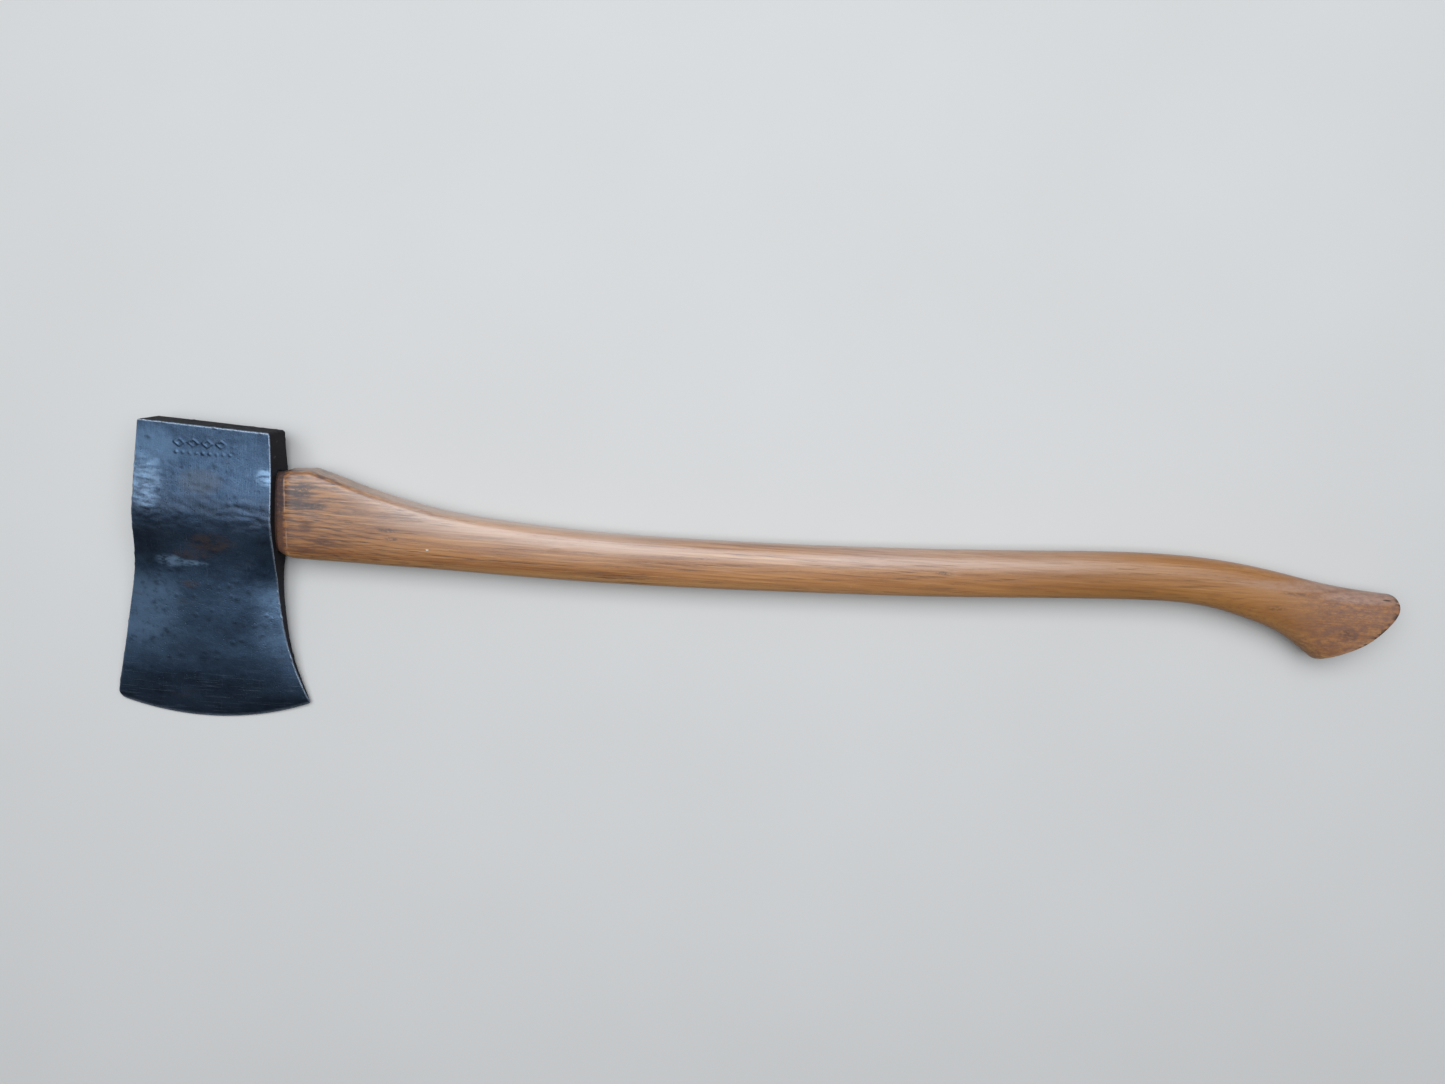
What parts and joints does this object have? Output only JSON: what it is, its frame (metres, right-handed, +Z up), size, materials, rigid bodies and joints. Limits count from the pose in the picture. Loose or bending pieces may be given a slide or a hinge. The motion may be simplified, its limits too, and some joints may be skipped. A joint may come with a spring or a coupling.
{
  "type": "felling axe",
  "caption": "Single-bit felling axe lying on its cheek: wedge-shaped forged head with a flared bit and flat poll, on a long curved wooden haft with a fawn's-foot knob.",
  "frame": {"origin": "on the floor, under the middle of the axe's box, as it lies on one cheek", "axes": "+X along the haft from the head to the knob, +Y from the bit to the poll, +Z up"},
  "size_m": [0.9008, 0.2137, 0.0387],
  "materials": {
    "forged_steel": "dark blue-grey patina over forging scale, finely scratched near the ground edge",
    "hickory": "oiled, handled smooth, long dark pores",
    "wedge_wood": "sawn end grain, dulled with oil and dust",
    "wedge_steel": "struck and lightly rusted"
  },
  "bodies": {
    "root": {"axe_head": "forged_steel", "haft": "hickory", "wooden_wedge": "wedge_wood", "steel_wedge_front": "wedge_steel", "steel_wedge_rear": "wedge_steel"}
  },
  "joints": []
}
